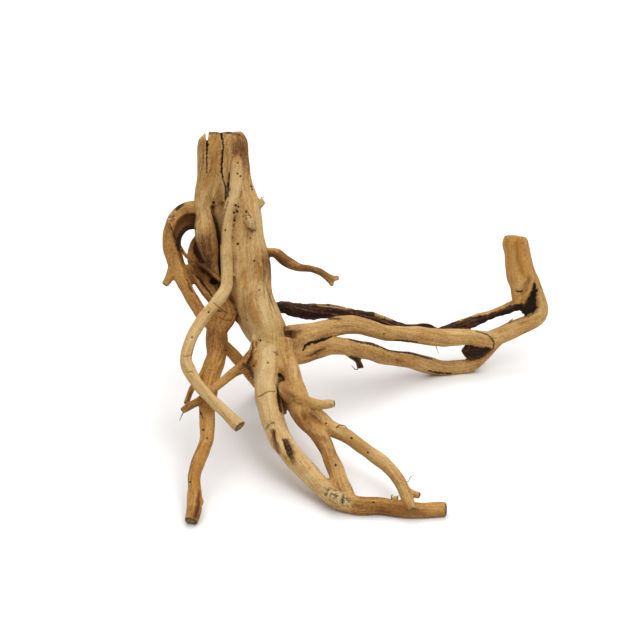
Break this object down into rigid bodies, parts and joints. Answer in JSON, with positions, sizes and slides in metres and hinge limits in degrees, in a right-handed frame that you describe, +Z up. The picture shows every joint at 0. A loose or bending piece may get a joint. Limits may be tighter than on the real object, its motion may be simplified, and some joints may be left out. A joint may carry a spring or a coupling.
{
  "type": "aquarium root",
  "caption": "Branching piece of root wood for an aquarium: a leaning split trunk on spreading roots, with long side limbs and a thin front root.",
  "frame": {"origin": "middle of the bounding box, on the surface that the root tips stand on", "axes": "+Z up, +X towards the long side limbs, -Y towards the front legs"},
  "size_m": [0.4072, 0.36, 0.2784],
  "materials": {
    "wood": "matt, sand-blasted and weathered, fine grain with dark splits and stains"
  },
  "bodies": {
    "root": {"root_wood": "wood"}
  },
  "joints": []
}
